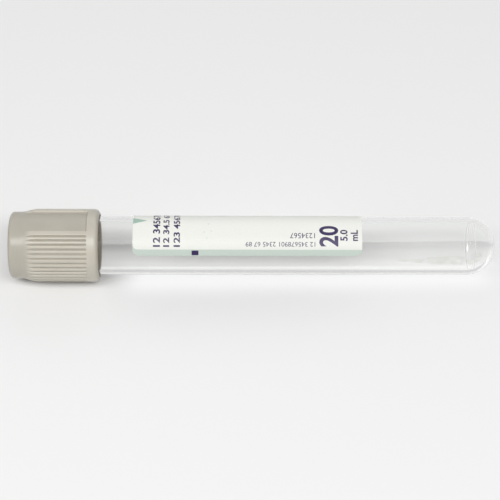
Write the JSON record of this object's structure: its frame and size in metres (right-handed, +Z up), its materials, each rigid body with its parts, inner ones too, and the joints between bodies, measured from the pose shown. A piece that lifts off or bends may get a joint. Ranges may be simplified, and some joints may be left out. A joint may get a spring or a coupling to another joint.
{
  "type": "blood collection tube",
  "caption": "Evacuated blood collection tube lying on its side: clear round-bottomed tube, rubber stopper under a ribbed pull-off shield, and a wrap label.",
  "frame": {"origin": "on the surface it lies on, under the middle of its overall length", "axes": "+X along the tube from its shield to its round end, 1.2 degrees nose down as it lies; -Y the front; +Z up"},
  "size_m": [0.1068, 0.016, 0.016],
  "materials": {
    "tube": "gloss",
    "stopper": "matte",
    "shield": "satin",
    "label": "matte",
    "additive_powder": "matte"
  },
  "bodies": {
    "tube": {"tube": "tube", "label": "label", "additive_powder": "additive_powder"},
    "stopper": {"stopper": "stopper"},
    "shield": {"shield": "shield"}
  },
  "joints": [
    {"name": "closure_pull", "type": "slide", "parent": "tube", "child": "stopper", "axis": [-0.9998, 0, 0.0201], "range_m": [0, 0.03]},
    {"name": "shield_twist", "type": "hinge", "parent": "stopper", "child": "shield", "pos_m": [-0.04323, 0, 0.00817], "axis": [-0.9998, 0, 0.0201], "continuous": true}
  ]
}
